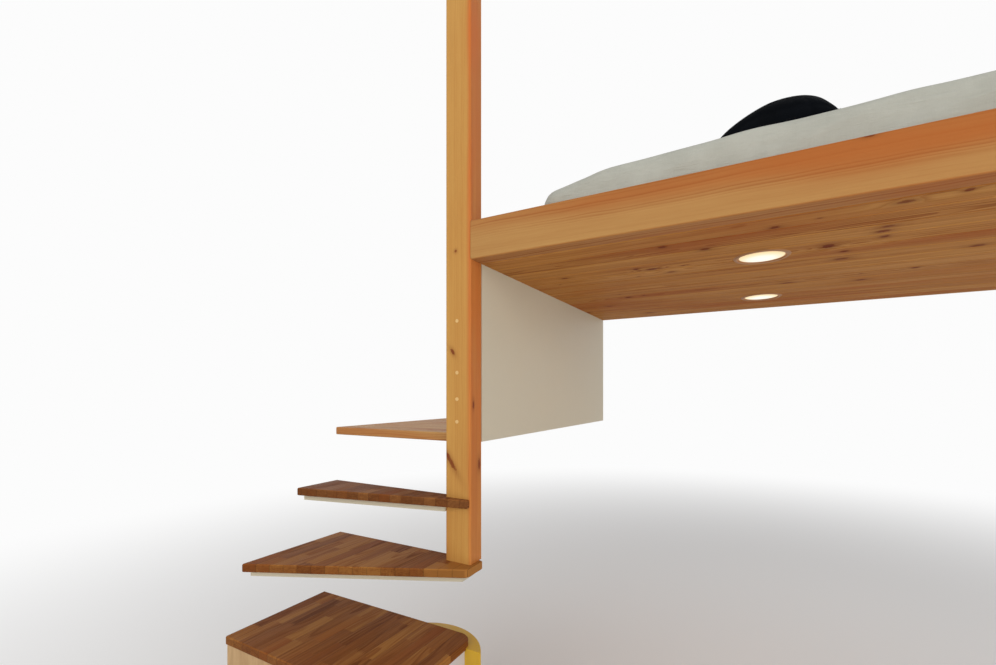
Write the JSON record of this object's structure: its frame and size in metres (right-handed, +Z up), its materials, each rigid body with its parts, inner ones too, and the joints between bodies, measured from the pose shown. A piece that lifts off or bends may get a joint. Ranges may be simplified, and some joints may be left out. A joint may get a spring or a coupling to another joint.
{
  "type": "sleeping loft with winder stair",
  "caption": "Built-in timber sleeping loft on a hanging post, with winder steps, landing, base steps and mattress, for a small house.",
  "frame": {"origin": "middle of the back ledger's face, where it lies on the back wall", "axes": "+X along the loft, to the right as seen from the room; +Y out of the back ledger's face, into the back wall; +Z up"},
  "size_m": [2.79, 1.938, 3.032],
  "materials": {
    "fir": "clear oil, satin",
    "pine_boards": "knotty, clear satin",
    "butcher_block": "finger-jointed staves, oiled",
    "birch_ply": "clear satin",
    "framing": "planed, bare",
    "white_paint": "eggshell paint",
    "yellow_paint": "satin paint",
    "light_trim": "white, satin",
    "light_lens": "frosted, lit",
    "light_can": "plain",
    "bed_linen": "white cotton",
    "dark_fabric": "dark blue-black cotton"
  },
  "bodies": {
    "root": {"post": "fir", "front_beam": "fir", "back_ledger": "framing", "left_rim_joist": "framing", "right_rim_joist": "framing", "joist_1": "framing", "joist_2": "framing", "joist_3": "framing", "joist_4": "framing", "joist_5": "framing", "soffit": "pine_boards", "deck": "pine_boards", "front_light_ring": "light_trim", "rear_light_ring": "light_trim", "front_light_lens": "light_lens", "rear_light_lens": "light_lens", "front_light_can": "light_can", "rear_light_can": "light_can", "side_panel": "white_paint", "panel_stair_skin": "white_paint", "panel_frame": "white_paint", "landing": "fir", "landing_back_cleat": "framing", "landing_left_cleat": "framing", "upper_winder": "butcher_block", "lower_winder": "butcher_block", "upper_bearer": "white_paint", "lower_bearer": "white_paint", "step_1_top": "butcher_block", "step_2_top": "butcher_block", "step_3_top": "butcher_block", "riser_1": "white_paint", "riser_2": "white_paint", "riser_3": "white_paint", "front_side": "birch_ply", "low_rear_side": "birch_ply", "base_rear_side": "birch_ply", "base_wall_side": "birch_ply", "curved_end": "yellow_paint", "curved_cap": "yellow_paint", "curved_foot": "yellow_paint", "curved_stile": "yellow_paint", "mattress": "bed_linen", "pillow": "dark_fabric"}
  },
  "joints": []
}
